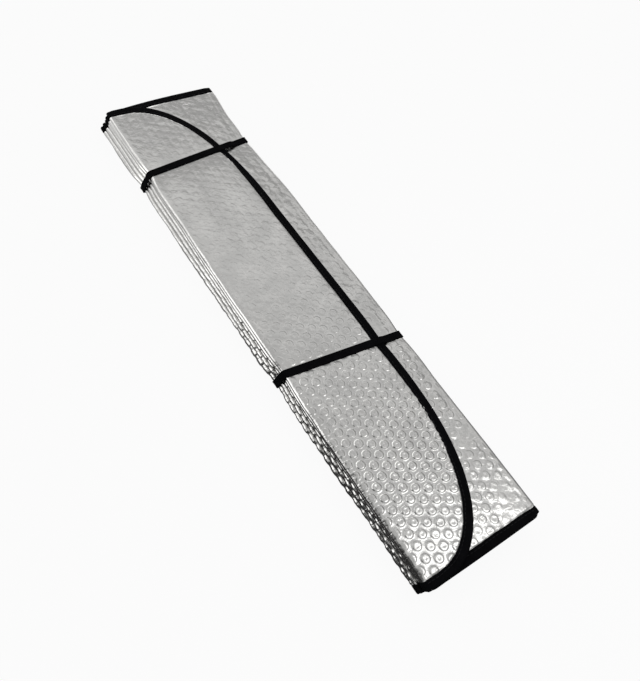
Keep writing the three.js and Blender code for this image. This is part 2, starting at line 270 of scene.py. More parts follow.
bubble = {
    "pitch": 11.622,
    "top": 2.9,                # radius at which the wall of a bubble starts
    "foot": 4.9,               # radius at which a bubble ends
    "spread": 0.1,             # how much the bubbles differ in radius
    "dome": 0.75,
    "dent": 0.4,               # how far the top is pressed in
    "dentLeast": 0.5,          # share of that in the least dented bubble
    "dentMore": 0.9,           # and what the most dented one has beyond it
    "dentFloor": 0.4,          # radius of the flat bottom of the dent
    "dentRadius": 3.0,
    "dentOff": 0.5,            # how far a dent lies off the bubble's middle
    "dentUp": 0.2,             # all dents lie a little towards the roof edge
    "dentTurn": 40,            # spreads the directions of the dents
    "firstRow": -292.7,
    "topColumn": -64.2,
    "stripColumn": 63.8,
}
bubble["columnPitch"] = bubble["pitch"] * math.sin(math.pi / 3)


# Height of the bubbles over the foil at a point of their lattice
def bubbles(u, v):
    a, c = bubble["pitch"], bubble["columnPitch"]
    best = np.full_like(u, 1e9)
    ids = np.zeros_like(u)     # a number from 0 to 1 for each bubble
    offU = np.zeros_like(u)
    offV = np.zeros_like(u)
    for odd in (0, 1):
        column = 2 * np.round((u / c - odd) / 2) + odd
        row = np.round(v / a - (0 if odd else 0.5)) + (0 if odd else 0.5)
        du, dv = u - column * c, v - row * a
        distance = np.hypot(du, dv)
        nearer = distance < best
        ids = np.where(nearer, chance(column, row, 5), ids)
        offU = np.where(nearer, du, offU)
        offV = np.where(nearer, dv, offV)
        best = np.where(nearer, distance, best)
    away = best * (1 + bubble["spread"] / 2 - bubble["spread"] * ids)
    turn = ids * bubble["dentTurn"]
    dipU = offU - bubble["dentOff"] * np.cos(turn)
    dipV = offV - bubble["dentUp"] - bubble["dentOff"] * np.sin(turn)
    dome = bubble["dome"] * (1 - smooth(bubble["top"], bubble["foot"], away))
    depth = bubble["dent"] * (bubble["dentLeast"] + bubble["dentMore"] * ids)
    dent = depth * (1 - smooth(bubble["dentFloor"], bubble["dentRadius"], np.hypot(dipU, dipV)))
    return dome - dent


# Folds of the film at three sizes, each with a depth, a length across and a length along
crumples = {
    "large": (0.55, 26, 38),
    "middle": (0.3, 9, 14),
    "small": (0.07, 3.3, 4.1),
    "bend": 0.3,               # the large folds bend the middle ones
}


def crumple(u, v, seed):
    large = waves((*crumples["large"], seed), u, v)
    bend = crumples["bend"] * large * crumples["middle"][1]
    middle = waves((*crumples["middle"], seed + 1), u + bend, v)
    small = waves((*crumples["small"], seed + 2), u, v)
    return large + middle + small


# The places of the sheet's points along the zigzag
def columnsOfSheet():
    places = []

    def run(start, end, spacing):
        count = max(1, round((end - start) / spacing))
        places.extend(start + (end - start) * k / count for k in range(count))

    for span in spans:
        start, end = span["start"], span["start"] + span["length"]
        if span["kind"] == "fold":
            steps = sheet["leftFoldSteps"] if span["i"] % 2 == 0 else sheet["rightFoldSteps"]
            run(start, end, span["length"] / steps)
        elif span["i"] in (outerPanels[0], secondPanels[0]):
            run(start, end, sheet["column"])
        elif span["i"] in (outerPanels[1], secondPanels[1]):
            run(start, end, sheet["underColumn"])
        else:
            run(start, end, span["length"] / 2)
    places.append(developed)
    return np.array(places)


# And along the folds
def rowsOfSheet():
    end = fold["height"] / 2
    nearRows = np.linspace(-end, 0, round(end / sheet["nearRow"]) + 1)
    farRows = np.linspace(0, end, round(end / sheet["farRow"]) + 1)
    return np.concatenate([nearRows, farRows[1:]])


# Distance in from the sheet's edge, good enough near it
def inwardOf(s, y):
    step = 0.5                 # the edge's slope is taken over this, to both sides
    least = 0.3                # and not nearer to a free edge than this
    ends = []
    fromSide = np.minimum(s, developed - s)
    inside = np.clip(fromSide, least, None)
    paintedReflection = np.where(s < developed / 2, inside, developed - inside)
    for end, gap in ((dashEnd, y - edgeY(dashEnd, s)), (roofEnd, edgeY(roofEnd, s) - y)):
        slope = (edgeY(end, paintedReflection + step) - edgeY(end, paintedReflection - step)) / (2 * step)
        slope = np.where(fromSide < corner["across"], slope, 0)
        ends.append(gap / np.sqrt(1 + slope ** 2))
    return np.minimum(np.minimum(*ends), fromSide)


# From 0 under the binding to 1 where the foil is free of it
def clearOfBinding(s, y):
    return smooth(sheet["margin"], sheet["margin"] + sheet["ramp"], inwardOf(s, y))


# The straps' pressure at a point, from 0 to 1
def pressedAt(x, y):
    press = np.zeros_like(x)
    for along, slope in fold["strapPlaces"]:
        away = np.abs(y - along - slope * x)
        press = np.maximum(press, 1 - smooth(*sheet["pressed"], away))
    return press


# The top panel. A pair is a stretch of x or y over which something fades.
topPanel = {
    "besideFold": (0.8, 5.0),
    "flatter": 0.89,           # share of the bubbles' height that is lost towards the roof
    "flatterOver": (-260, 40),
    "dashHeight": 0.6,         # share of it at the dashboard edge
    "dashOver": (-280, -200),
    "crumple": 0.3,
    "crumpleSeed": 11,
    "streaks": ((0.07, 5.0, 2.6, 62), (0.05, 2.5, 2.1, 63)),
}


def topRelief(x, y):
    u = x - bubble["topColumn"]
    shown = smooth(-side + topPanel["besideFold"][0], -side + topPanel["besideFold"][1], x)
    strength = 1 - topPanel["flatter"] * smooth(*topPanel["flatterOver"], y)
    dashHeight = topPanel["dashHeight"]
    strength = strength * (dashHeight + (1 - dashHeight) * smooth(*topPanel["dashOver"], y))
    streaks = sum(waves(shape, u, y) for shape in topPanel["streaks"])
    crumpled = topPanel["crumple"] * crumple(u, y, topPanel["crumpleSeed"])
    return shown, strength, bubbles(u, y - bubble["firstRow"]) * strength + crumpled + streaks


# The strip of the second panel that shows past the free edge of the top one
strip = {
    "freeEdgeSlant": 1.2,      # share of the draw-in by which the free edge is taken further left
    "besideEdge": (-6, 3),
    "besideFold": (9, 3),
    "height": 0.45,            # share of the bubbles' height that is left
    "patches": (0.35, 14, 18, 21),
    "flatter": 0.7,
    "flatterOver": (-170, 0),
    "dashHeight": 0.65,
    "dashOver": (-270, -200),
    "lines": (0.3, 2.6, 34, 61),
    "linesOver": (44, 58),
    "creases": ((0.2, 3.4, 12, 64), (0.16, 4.1, 9, 65)),
    "dashCreases": 0.65,
    "dashCreasesOver": (-280, -220),
    "crumple": 0.6,
    "crumpleSeed": 31,
    "cornerMargin": 10,
    "covered": -50,            # stands for a place well under the top panel
}


# How far a point of the second panel lies past the rounded corner above it
def pastCorner(end, x, y):
    s = np.clip(fold["freeEdge"] - x, 0, None)
    beyond = end["towards"] * (y - edgeY(end, s))
    return np.where(s < corner["across"] + strip["cornerMargin"], beyond, strip["covered"])


def stripRelief(x, y):
    u = x - bubble["stripColumn"]
    pastEdge = x - fold["freeEdge"] + fold["drawIn"] * strip["freeEdgeSlant"]
    bare = np.maximum(pastEdge, np.maximum(pastCorner(dashEnd, x, y), pastCorner(roofEnd, x, y)))
    foldStart, foldEnd = (side - away for away in strip["besideFold"])
    shown = smooth(*strip["besideEdge"], bare) * (1 - smooth(foldStart, foldEnd, x))
    dashHeight, dashCreases = strip["dashHeight"], strip["dashCreases"]
    strength = strip["height"] + waves(strip["patches"], u, y)
    strength = strength * (1 - strip["flatter"] * smooth(*strip["flatterOver"], y))
    strength = strength * (dashHeight + (1 - dashHeight) * smooth(*strip["dashOver"], y))
    lines = waves(strip["lines"], x, y) * smooth(*strip["linesOver"], x)
    creased = waves(strip["creases"][0], x + y, y - x) + waves(strip["creases"][1], x - y, x + y)
    creased = creased * (dashCreases + (1 - dashCreases) * smooth(*strip["dashCreasesOver"], y))
    crumpled = strip["crumple"] * crumple(u, y, strip["crumpleSeed"])
    return shown, strength, bubbles(u, y - bubble["firstRow"]) * strength + crumpled + lines + creased


# The folds that show at the sides, wrinkled, with a ridge where a bubble is bent over one.
# A wrinkle has a depth, its waves across a fold, a step from fold to fold, a length along and a seed.
foldFace = {
    "wrinkles": ((0.28, 1.5, 7, 4.2, 41), (0.2, 1.0, 3, 11.0, 42)),
    "ridge": 0.55,
    "ridgeAbove": 0.1,         # the same on the uppermost folds
    "ridgeHalf": (0.24, 0.38),  # share of the bubbles' pitch over which a ridge ends
    "calm": 0.8,               # what is lost towards the roof
    "calmOver": (20, 120),
    "above": 0.25,             # share of it all on the uppermost folds
    "aboveCount": 3,
    "fade": 1.1,
}


def foldRelief(span, t, y):
    above = span["i"] < foldFace["aboveCount"]
    wrinkle = 0
    for depth, across, step, along, seed in foldFace["wrinkles"]:
        wrinkle = wrinkle + depth * drift(t * across + span["i"] * step, y / along, seed)
    shift = 0.5 * (span["i"] % 4 > 1)  # every other fold of a side is half a pitch on
    fromRidge = np.abs((y / bubble["pitch"] + shift) % 1 - 0.5)
    ridge = foldFace["ridgeAbove"] if above else foldFace["ridge"]
    wrinkle = wrinkle + ridge * (1 - smooth(*foldFace["ridgeHalf"], fromRidge))
    wrinkle = wrinkle * (1 - foldFace["calm"] * smooth(*foldFace["calmOver"], y))
    return wrinkle * (foldFace["above"] if above else 1)


# The relief of a face of the sheet, whether it shows, and the share left of its bubbles
def relief(s, y, outer):
    clear = clearOfBinding(s, y)
    total = np.zeros_like(s)
    shown = np.zeros_like(s)
    share = np.zeros_like(s)
    for span in panels:
        x = span["x"] + span["way"] * (s - span["start"])
        if span["i"] in outerPanels:
            face = outer
            amount, strength, height = topRelief(x, y)
        elif span["i"] in secondPanels:
            face = ~outer
            amount, strength, height = stripRelief(x, y)
        else:
            continue
        mask = face & (s >= span["start"]) & (s <= span["start"] + span["length"])
        press = pressedAt(x, y)
        value = (height + sheet["raised"]) * (1 - press) - sheet["sunken"] * press
        total = np.where(mask, amount * clear * value, total)
        share = np.where(mask, amount * clear * (1 - press) * strength, share)
        shown = np.where(mask, np.maximum(shown, amount), shown)
    for span in folds:
        t = (s - span["start"]) / span["length"]
        mask = (outer if span["i"] % 2 == 0 else ~outer) & (np.abs(t - 0.5) < 0.5)
        amount = np.clip(1 - np.abs(t - 0.5) * foldFace["fade"], 0, 1)
        total = np.where(mask, total + amount * clear * foldRelief(span, t, y), total)
        shown = np.where(mask, 1, shown)
    return total, shown, share


# Joins the faces that nothing shows, in blocks small enough to follow the folds' waves
def joinHidden(bm, columns, rows):
    middles = np.array([face.calc_center_median() for face in bm.faces])
    s, y = middles[:, 0], middles[:, 1]
    upper = middles[:, 2] > -sheet["laidOut"] / 2
    inner = inwardOf(s, y) > sheet["margin"] + sheet["ramp"] + sheet["keep"]
    onFace = np.abs(middles[:, 2] - np.where(upper, 0, -sheet["laidOut"])) < 0.01
    amount, shown, share = relief(s, y, upper)
    hidden = (shown <= 0) & inner & onFace
    rowBlock = np.searchsorted(rows, y) // sheet["block"]
    zone = np.searchsorted([span["start"] for span in spans], s)
    foldZone = zone % 2 == 0
    column = np.where(foldZone, np.searchsorted(columns, s), 0)
    most = 1000                # more than there are columns or blocks
    group = ((zone * most + column) * most + rowBlock) * 2 + upper
    group = np.where(hidden, group, -1)
    bm.faces.index_update()
    inside = []
    for edge in bm.edges:
        pair = [group[face.index] for face in edge.link_faces]
        if len(pair) == 2 and pair[0] == pair[1] and pair[0] >= 0:
            inside.append(edge)
    bmesh.ops.dissolve_edges(bm, edges=inside, use_verts=True)


# The lattice's u on the span at s, as a start and a way along the developed sheet
def latticeShift(s):
    span = next((span for span in spans if s <= span["start"] + span["length"]), spans[-1])
    origin = bubble["topColumn"] if span["i"] in outerPanels else bubble["stripColumn"]
    way = 1 if span["kind"] == "fold" else span["way"]
    return span["x"] - origin - way * span["start"], way


def buildSheet():
    columns = columnsOfSheet()
    rows = rowsOfSheet()
    bm = bmesh.new()
    bmesh.ops.create_grid(bm, x_segments=len(columns) - 1, y_segments=len(rows) - 1, size=1)
    for number, vert in enumerate(bm.verts):
        vert.co = (columns[number % len(columns)], rows[number // len(columns)], 0)
    places = np.array([vert.co[:2] for vert in bm.verts])
    outside = inwardOf(places[:, 0], places[:, 1]) < sheet["trim"]
    doomed = [vert for vert, out in zip(bm.verts, outside) if out]
    bmesh.ops.delete(bm, geom=doomed, context="VERTS")
    bmesh.ops.solidify(bm, geom=bm.faces[:], thickness=sheet["laidOut"])
    bmesh.ops.recalc_face_normals(bm, faces=bm.faces[:])
    joinHidden(bm, columns, rows)
    lattice = bm.loops.layers.uv.new("lattice")
    for face in bm.faces:
        start, way = latticeShift(face.calc_center_median().x)
        for loop in face.loops:
            u = start + way * loop.vert.co.x
            loop[lattice].uv = (u * mm, (loop.vert.co.y - bubble["firstRow"]) * mm)
    piece = newPiece("bubble_foil_sheet", bm)
    mesh = piece.data
    flat = np.empty(len(mesh.vertices) * 3)
    mesh.vertices.foreach_get("co", flat)
    flat = flat.reshape(-1, 3)
    s, y = flat[:, 0], flat[:, 1]
    outer = flat[:, 2] > -sheet["laidOut"] / 2
    half = sheet["halfCrushed"] + (sheet["half"] - sheet["halfCrushed"]) * clearOfBinding(s, y)
    amount, shown, share = relief(s, y, outer)
    mesh.attributes.new("share", "FLOAT", "POINT").data.foreach_set("value", share)
    offset = np.where(outer, half + amount, -half - amount)
    mesh.vertices.foreach_set("co", intoPlace(s, y, offset).ravel())
    mesh.flip_normals()        # folding turns the sheet's own sides about
    mesh.update()
    triangles = sum(len(polygon.vertices) - 2 for polygon in mesh.polygons)
    print("sheet:", len(mesh.polygons), "faces,", triangles, "triangles")
    return piece


# The normals to the left of a closed path, and the length up to each point
def alongPath(path):
    ahead = np.roll(path, -1, axis=0) - path
    behind = path - np.roll(path, 1, axis=0)
    steps = np.linalg.norm(ahead, axis=1)
    way = ahead / steps[:, None] + behind / np.linalg.norm(behind, axis=1)[:, None]
    way /= np.linalg.norm(way, axis=1)[:, None]
    normals = np.stack([-way[:, 1], way[:, 0]], axis=-1)
    return normals, np.concatenate([[0], np.cumsum(steps)])


# A closed skin through a closed row of closed rings, made from a grid whose sides are joined
def sweep(name, rings, section, along):
    count, size = len(rings), len(section)
    around = alongPath(section)[1]
    bm = bmesh.new()
    bmesh.ops.create_grid(bm, x_segments=size, y_segments=count, size=1)
    uvLayer = bm.loops.layers.uv.new("weave")
    uvPlaces = {}
    for number, vert in enumerate(bm.verts):
        k, row = number % (size + 1), number // (size + 1)
        vert.co = rings[row % count][k % size]
        uvPlaces[vert] = (around[k] * mm, along[row] * mm)
    for face in bm.faces:
        for loop in face.loops:
            loop[uvLayer].uv = uvPlaces[loop.vert]
    bmesh.ops.remove_doubles(bm, verts=bm.verts[:], dist=1e-7)
    bmesh.ops.recalc_face_normals(bm, faces=bm.faces[:])
    return newPiece(name, bm)


tape = {
    "width": 9.0,
    "thickness": 0.5,
    "gap": 0.1,
    "cornerSteps": 34,
    "foldSteps": 6,
    "panelStep": 7.0,
    "nearFold": (0, 1.3, 2.8, 4.4),  # closer points beside a fold
    "foldZone": 6.0,           # length that those take
    "cornerGap": 2.0,          # least distance between a corner's last point and the next
    "waves": ((1.0, 23, 1, 51), (0.6, 9, 1, 52)),
    "wave": 0.45,              # the inner edge isn't quite straight
    "waveFrom": 5.0,           # what lies further in than this moves with it
    "worn": 2.4,               # how far the near corners are rounded off at a right fold
    "wornLess": 0.9,           # and everywhere else
    "wornReach": 3.0,
    "wornDepth": 6.0,
}


# The points of one rounded corner, from its side to its end
def cornerPoints(end, first):
    share = 2 / corner["power"]
    made = []
    for k in range(tape["cornerSteps"] + 1):
        turn = math.pi / 2 * k / tape["cornerSteps"]
        inward = corner["across"] * (1 - math.cos(turn) ** share)
        beyond = end["corner"] * math.sin(turn) ** share
        y = end["towards"] * (fold["height"] / 2 - end["fall"] - end["corner"] + beyond)
        made.append((inward if first else developed - inward, y))
    return made


# The points of one end between its corners, closer together at the folds
def endPoints(end):
    made = []
    zone = tape["foldZone"]
    for span in spans:
        low, high = span["start"], span["start"] + span["length"]
        if span["kind"] == "fold":
            made.extend(low + (high - low) * k / tape["foldSteps"] for k in range(tape["foldSteps"]))
            continue
        count = max(2, round((span["length"] - 2 * zone) / tape["panelStep"]))
        made.extend(low + step for step in tape["nearFold"])
        made.extend(low + zone + (high - low - 2 * zone) * k / count for k in range(count + 1))
        made.extend(high - step for step in reversed(tape["nearFold"][1:]))
    start = corner["across"] + tape["cornerGap"]
    made = np.array([s for s in made if start < s < developed - start])
    return list(zip(made.tolist(), edgeY(end, made).tolist()))


# The binding's path round the developed sheet, the directions inward, and its length
def tapePath():
    gaps = round((roofCornerY - dashCornerY) / tape["panelStep"])
    between = [dashCornerY + (roofCornerY - dashCornerY) * k / gaps for k in range(1, gaps)]
    points = cornerPoints(dashEnd, True)
    points += endPoints(dashEnd)
    points += cornerPoints(dashEnd, False)[::-1]
    points += [(developed, y) for y in between]
    points += cornerPoints(roofEnd, False)
    points += endPoints(roofEnd)[::-1]
    points += cornerPoints(roofEnd, True)[::-1]
    points += [(0.0, y) for y in reversed(between)]
    path = np.array(points)
    inward, length = alongPath(path)
    zigzagging = (path[:, 0] > corner["across"]) & (path[:, 0] < developed - corner["across"])
    square = np.stack([np.zeros(len(path)), -np.sign(path[:, 1])], axis=-1)
    return path, np.where(zigzagging[:, None], square, inward), length


# The tape's folded section, as distances in from the sheet's edge and out from its middle
def tapeSection():
    near = sheet["halfCrushed"] + tape["gap"]
    far = near + tape["thickness"]
    w = tape["width"]
    half = [
        (w, near + 0.12),      # the inner edge
        (w - 0.02, far - 0.18),
        (w - 0.25, far - 0.03),
        (w * 0.75, far + 0.03),
        (w * 0.72, far - 0.04),  # drawn down by the stitches
        (w * 0.69, far + 0.03),
        (w * 0.45, far + 0.04),
        (w * 0.2, far),
        (0.3, far - 0.05),     # round the edge of the sheet
        (-0.2, far - 0.3),
        (-0.5, far - 0.7),
        (-0.6, 0),
    ]
    outside = half + [(inset, -offset) for inset, offset in reversed(half[:-1])]
    inside = [(w - 0.1, -near), (w * 0.5, -near), (0.0, -near)]
    inside += [(inset, near) for inset, offset in reversed(inside)]
    return np.array(outside + inside)


# How far the folds' corners are rounded off at the ends
def roundedOff(s, y):
    worn = np.zeros_like(s)
    for span in folds:
        halfway = span["length"] / 2
        away = np.clip(np.abs(s - span["start"] - halfway) - halfway, 0, None)
        most = np.where((y < 0) & (span["i"] % 2 == 1), tape["worn"], tape["wornLess"])
        worn = np.maximum(worn, most * np.exp(-(away / tape["wornReach"]) ** 2))
    return worn


def tapeWave(length):
    return tape["wave"] * sum(waves(shape, length, length * 0) for shape in tape["waves"])


def buildTape():
    path, inward, length = tapePath()
    section = tapeSection()
    insets = section[None, :, 0]
    reach = insets + tapeWave(length[:-1])[:, None] * (insets > tape["waveFrom"])
    worn = roundedOff(path[:, 0], path[:, 1])[:, None]
    reach = reach + worn * np.clip(1 - insets / tape["wornDepth"], 0, 1)
    s = path[:, None, 0] + inward[:, None, 0] * reach
    y = path[:, None, 1] + inward[:, None, 1] * reach
    offset = np.tile(section[:, 1], len(path))
    rings = intoPlace(s.ravel(), y.ravel(), offset).reshape(len(path), len(section), 3)
    piece = sweep("binding_tape", rings, section, length)
    print("binding:", len(piece.data.polygons), "faces")
    return piece


stitch = {
    "length": 2.9,
    "width": 0.42,
    "height": 0.34,
    "pitch": 4.4,
    "inset": 6.5,              # in from the sheet's edge
    "proud": 0.03,             # how far its middle lies above the tape
    "round": 0.1,
}


# Stitches along both faces of the binding, laid out flat and then folded with it
def buildStitches():
    path, inward, length = tapePath()
    closed = np.vstack([path, path[:1]])
    sides = np.vstack([inward, inward[:1]])
    count = int(length[-1] / stitch["pitch"])
    face = sheet["halfCrushed"] + tape["gap"] + tape["thickness"] + stitch["proud"]
    size = Matrix.Diagonal((stitch["length"], stitch["width"], stitch["height"], 1))
    bm = bmesh.new()
    for place in (np.arange(count) + 0.5) * length[-1] / count:
        points = []
        for step in (-1, 1):
            end = np.clip(place + step * stitch["length"] / 2, 0, length[-1])
            point = np.array([np.interp(end, length, closed[:, k]) for k in (0, 1)])
            across = np.array([np.interp(end, length, sides[:, k]) for k in (0, 1)])
            points.append(point + across * (stitch["inset"] + tapeWave(np.array([end]))[0]))
        middle = (points[0] + points[1]) / 2
        way = points[1] - points[0]
        turn = Matrix.Rotation(math.atan2(way[1], way[0]), 4, "Z")
        for hand in (-1, 1):
            at = Matrix.Translation((middle[0], middle[1], hand * face))
            bmesh.ops.create_cube(bm, size=1, matrix=at @ turn @ size)
    bmesh.ops.bevel(bm, geom=bm.edges[:], offset=stitch["round"], segments=1, profile=0.5,
                    affect="EDGES", material=-1)
    flat = np.array([vert.co for vert in bm.verts])
    final = intoPlace(flat[:, 0], flat[:, 1], flat[:, 2])
    for vert, place in zip(bm.verts, final):
        vert.co = place
    bmesh.ops.reverse_faces(bm, faces=bm.faces[:])
    print("stitches:", 2 * count)
    return newPiece("binding_stitches", bm)


strap = {
    "width": 8.0,
    "thickness": 0.95,
    "ribs": 9,
    "ribDepth": 0.1,
    "edgeRound": 0.3,
    "edgeFlat": 0.15,
    "lift": 0.18,
    "underLift": 1.6,          # the bubbles on the underside hold it off
    "sideGap": 0.35,
    "bend": 3.2,
    "bendSteps": 6,
    "dropBefore": 1.5,         # it starts to drop this far before the free edge
    "dropLength": 8.0,
    "dropSteps": 8,
    "step": 3.0,
}


# A strap's path round the stack, seen along the folds
def strapPath():
    thick = strap["thickness"] / 2
    right = side + strap["sideGap"] + thick
    left = -right
    top = topZ + sheet["half"] + strap["lift"] + thick
    bottom = -sheet["half"] - strap["underLift"] - thick
    topRight = top - fold["pitch"]
    bottomRight = bottom + fold["pitch"]
    bend = strap["bend"]
    dropStart = fold["freeEdge"] - strap["dropBefore"]
    dropEnd = dropStart + strap["dropLength"]
    points = []

    def arc(x, z, start, stop):
        for k in range(strap["bendSteps"] + 1):
            angle = math.radians(start + (stop - start) * k / strap["bendSteps"])
            points.append((x + bend * math.cos(angle), z + bend * math.sin(angle)))

    def line(xa, za, xb, zb):
        count = max(1, round(math.hypot(xb - xa, zb - za) / strap["step"]))
        points.extend((xa + (xb - xa) * k / count, za + (zb - za) * k / count) for k in range(1, count))

    def drop(fromZ, toZ, back):
        made = []
        for k in range(strap["dropSteps"] + 1):
            t = k / strap["dropSteps"]
            fall = t * t * (3 - 2 * t)
            made.append((dropStart + strap["dropLength"] * t, fromZ + (toZ - fromZ) * fall))
        points.extend(made[::-1] if back else made)

    arc(left + bend, top - bend, 180, 90)
    line(left + bend, top, dropStart, top)
    drop(top, topRight, False)
    line(dropEnd, topRight, right - bend, topRight)
    arc(right - bend, topRight - bend, 90, 0)
    line(right, topRight - bend, right, bottomRight + bend)
    arc(right - bend, bottomRight + bend, 0, -90)
    line(right - bend, bottomRight, dropEnd, bottomRight)
    drop(bottom, bottomRight, True)
    line(dropStart, bottom, left + bend, bottom)
    arc(left + bend, bottom + bend, 270, 180)
    line(left, bottom + bend, left, top - bend)
    return np.array(points)


# Across the strap and out from its middle, ribbed on the outer face
def strapSection():
    half = strap["width"] / 2
    thick = strap["thickness"] / 2
    inner = half - strap["edgeRound"]
    flat = strap["edgeFlat"]
    steps = strap["ribs"] * 2
    top = []
    for k in range(steps + 1):
        top.append((-inner + 2 * inner * k / steps, thick - (strap["ribDepth"] if k % 2 else 0)))
    bottom = [(inner, -thick), (0, -thick), (-inner, -thick)]
    return np.array(top + [(half, flat), (half, -flat)] + bottom + [(-half, -flat), (-half, flat)])


def buildStrap(name, along, slope):
    path = strapPath()
    section = strapSection()
    outward, length = alongPath(path)
    x = path[:, None, 0] + outward[:, None, 0] * section[None, :, 1]
    z = path[:, None, 1] + outward[:, None, 1] * section[None, :, 1]
    y = along + slope * path[:, None, 0] + section[None, :, 0]
    placed = np.stack(settle(x.ravel(), y.ravel(), z.ravel()), axis=-1) * mm
    rings = placed.reshape(len(path), len(section), 3)
    piece = sweep(name, rings, section, length)
    print(name + ":", len(piece.data.polygons), "faces")
    return piece


# Shader maths on sockets
class Feed:
    def __init__(self, tree, socket=None):
        self.tree = tree
        self.socket = socket

    def node(self, kind, settings=None, values=None, out=0):
        made = self.tree.nodes.new(kind)
        for name, setting in (settings or {}).items():
            setattr(made, name, setting)
        for name, value in (values or {}).items():
            if isinstance(value, Feed):
                self.tree.links.new(value.socket, made.inputs[name])
            else:
                made.inputs[name].default_value = value
        return Feed(self.tree, made.outputs[out])

    def maths(self, operation, *terms):
        return self.node("ShaderNodeMath", {"operation": operation}, dict(enumerate(terms)))

    def __add__(self, other):
        return self.maths("ADD", self, other)

    __radd__ = __add__

    def __sub__(self, other):
        return self.maths("SUBTRACT", self, other)

    def __rsub__(self, other):
        return self.maths("SUBTRACT", other, self)

    def __mul__(self, other):
        return self.maths("MULTIPLY", self, other)

    __rmul__ = __mul__


def newMaterial(name):
    material = bpy.data.materials.new(name)
    material.use_nodes = True
    tree = material.node_tree
    shader = next(node for node in tree.nodes if node.type == "BSDF_PRINCIPLED")
    return material, Feed(tree), shader


def feedShader(paint, shader, values):
    for name, value in values.items():
        if isinstance(value, Feed):
            paint.tree.links.new(value.socket, shader.inputs[name])
        else:
            shader.inputs[name].default_value = value


def blendColour(paint, factor, first, second):
    return paint.node("ShaderNodeMix", {"data_type": "RGBA"}, {0: factor, 6: first, 7: second}, out=2)


# One axis of a vector: 0 is x, 1 is y and 2 is z
def axisOf(paint, vector, axis):
    return paint.node("ShaderNodeSeparateXYZ", None, {0: vector}, out=axis)


# A vector in metres as one in millimetres
def inMillimetres(paint, vector):
    return paint.node("ShaderNodeVectorMath", {"operation": "SCALE"}, {0: vector, "Scale": 1 / mm})


# Runs from one level to another between two values: low, high, level at low, level at high
def fade(paint, value, stretch, kind="LINEAR"):
    levels = dict(enumerate(stretch, start=1))
    return paint.node("ShaderNodeMapRange", {"interpolation_type": kind}, {0: value, **levels})


def softFade(paint, value, stretch):
    return fade(paint, value, stretch, "SMOOTHSTEP")


# Heights are in millimetres
foil = {
    "bright": (0.80, 0.793, 0.775, 1),
    "dull": (0.72, 0.715, 0.70, 1),
    "mottle": {"Scale": 0.035, "Detail": 3.0},
    "mottleFade": (0.35, 0.65, 0.0, 1.0),
    "roughness": 0.19,
    "brightSmoother": 0.06,
    "filmRougher": 0.12,
    "film": {"Scale": 0.45, "Detail": 2.0, "Roughness": 0.6},
    "filmHeight": 0.05,
    "creases": {"Scale": 0.16},
    "creaseFade": (0.0, 0.12, 0.0, 1.0),
    "creaseHeight": 0.05,
    "rimFade": (3.4, 4.6, 1.0, 0.0),   # the wall of a bubble, by distance from its middle
    "rimHeight": 0.46,
    "pitFade": (0.4, 1.6, 0.0, 1.0),
    "pitHeight": 0.06,
}


# Distance from the nearest bubble's middle, on the lattice's own coordinates
def bubbleDistance(paint, place):
    a, c = bubble["pitch"], bubble["columnPitch"]
    u = paint.maths("PINGPONG", axisOf(paint, place, 0), c)
    v = paint.maths("PINGPONG", axisOf(paint, place, 1), a / 2)
    evenGap = a / 2 - v
    oddGap = c - u
    nearest = paint.maths("MINIMUM", u * u + evenGap * evenGap, oddGap * oddGap + v * v)
    return paint.maths("SQRT", nearest)


def foilMaterial():
    material, paint, shader = newMaterial("metallised_foil")
    place = inMillimetres(paint, paint.node("ShaderNodeUVMap", {"uv_map": "lattice"}))
    distance = bubbleDistance(paint, place)
    share = paint.node("ShaderNodeAttribute", {"attribute_name": "share"}, out=2)
    film = paint.node("ShaderNodeTexNoise", None, {"Vector": place, **foil["film"]})
    cells = paint.node("ShaderNodeTexVoronoi", {"feature": "DISTANCE_TO_EDGE"},
                       {"Vector": place, **foil["creases"]})
    mottle = paint.node("ShaderNodeTexNoise", None, {"Vector": place, **foil["mottle"]})
    height = film * (foil["filmHeight"] * mm)
    height = height + fade(paint, cells, foil["creaseFade"]) * (foil["creaseHeight"] * mm)
    rim = softFade(paint, distance, foil["rimFade"]) * (foil["rimHeight"] * mm)
    pit = softFade(paint, distance, foil["pitFade"]) * (foil["pitHeight"] * mm)
    height = height + (rim + pit) * share
    bump = paint.node("ShaderNodeBump", None, {"Strength": 1.0, "Distance": 1.0, "Height": height})
    tone = fade(paint, mottle, foil["mottleFade"])
    colour = blendColour(paint, tone, foil["dull"], foil["bright"])
    rough = tone * -foil["brightSmoother"] + film * foil["filmRougher"] + foil["roughness"]
    feedShader(paint, shader, {"Base Color": colour, "Metallic": 1.0, "Roughness": rough, "Normal": bump})
    return material


# Threads per millimetre, across the cloth and along it
bindingCloth = {"colour": (0.0025, 0.0025, 0.003, 1), "warp": 1.1, "weft": 1.1}
elasticCloth = {"colour": (0.0025, 0.0025, 0.003, 1), "warp": 1.25, "weft": 0.9}
cloth = {
    "fuzz": {"Scale": 2.0, "Detail": 3.0},
    "wear": {"Scale": 0.08, "Detail": 2.0},
    "weaveShare": 0.5,
    "fuzzShare": 0.4,
    "wearShare": 0.6,
    "bump": {"Strength": 0.6, "Distance": 0.00025},
    "wornLighter": 2.2,
    "wornFade": (0.35, 0.7, 0.0, 1.0),
    "roughness": 0.85,
    "specular": 0.03,
}


